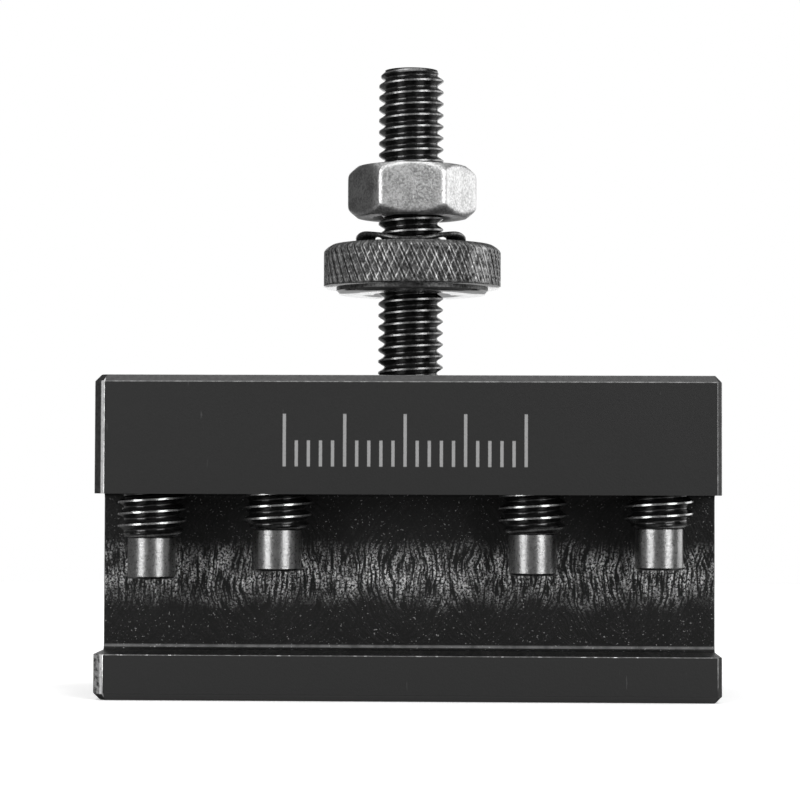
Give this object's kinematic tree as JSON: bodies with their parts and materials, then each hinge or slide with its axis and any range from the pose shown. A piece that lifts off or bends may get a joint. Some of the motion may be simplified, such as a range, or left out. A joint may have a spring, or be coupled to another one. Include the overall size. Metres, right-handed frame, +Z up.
{
  "type": "quick-change tool holder",
  "caption": "Black quick-change lathe tool holder with an open tool slot, dog-point clamp screws, a rear dovetail groove and a knurled height nut locked on a stud.",
  "frame": {"origin": "centre of the block's underside", "axes": "+Z up along the height stud, -Y out of the tool slot, +Y out of the dovetail groove, +X along the tool slot to the right as seen from the slot side"},
  "size_m": [0.052, 0.0226, 0.054],
  "materials": {
    "black_oxide_steel": "black oxide over milled and ground steel, satin",
    "black_thread_steel": "black oxide on rolled thread, oily gloss, bare at the screw points",
    "knurled_steel": "black oxide on diamond knurl, bare turned underside",
    "spring_steel": "blackened spring steel",
    "bare_steel": "bare steel, tumbled and slightly mottled"
  },
  "bodies": {
    "holder": {"holder_block": "black_oxide_steel", "height_stud": "black_thread_steel"},
    "spring_washer": {"wave_washer": "spring_steel"},
    "height_nut": {"height_nut": "knurled_steel"},
    "lock_nut": {"lock_nut": "bare_steel"},
    "clamp_screw_1": {"clamp_screw_1": "black_thread_steel"},
    "clamp_screw_2": {"clamp_screw_2": "black_thread_steel"},
    "clamp_screw_3": {"clamp_screw_3": "black_thread_steel"},
    "clamp_screw_4": {"clamp_screw_4": "black_thread_steel"}
  },
  "joints": [
    {"name": "clamp_screw_1_travel", "type": "slide", "parent": "holder", "child": "clamp_screw_1", "axis": [0, 0, 1], "range_m": [-0.0061, 0.00715]},
    {"name": "clamp_screw_2_travel", "type": "slide", "parent": "holder", "child": "clamp_screw_2", "axis": [0, 0, 1], "range_m": [-0.0068, 0.00645]},
    {"name": "clamp_screw_3_travel", "type": "slide", "parent": "holder", "child": "clamp_screw_3", "axis": [0, 0, 1], "range_m": [-0.0065, 0.00675]},
    {"name": "clamp_screw_4_travel", "type": "slide", "parent": "holder", "child": "clamp_screw_4", "axis": [0, 0, 1], "range_m": [-0.007, 0.00625]},
    {"name": "height_nut_travel", "type": "slide", "parent": "holder", "child": "spring_washer", "axis": [0, 0, 1], "range_m": [-0.0074, 0.001]},
    {"name": "height_nut_turn", "type": "hinge", "parent": "spring_washer", "child": "height_nut", "pos_m": [0, 0.00045, 0.0366], "axis": [0, 0, 1], "range_deg": [-2664, 360]},
    {"name": "lock_nut_travel", "type": "slide", "parent": "spring_washer", "child": "lock_nut", "axis": [0, 0, 1], "range_m": [-0.0013, 0.007]}
  ],
  "couplings": [
    {"joint": "height_nut_turn", "follows": "height_nut_travel", "rad_per_m": 6283.2}
  ]
}
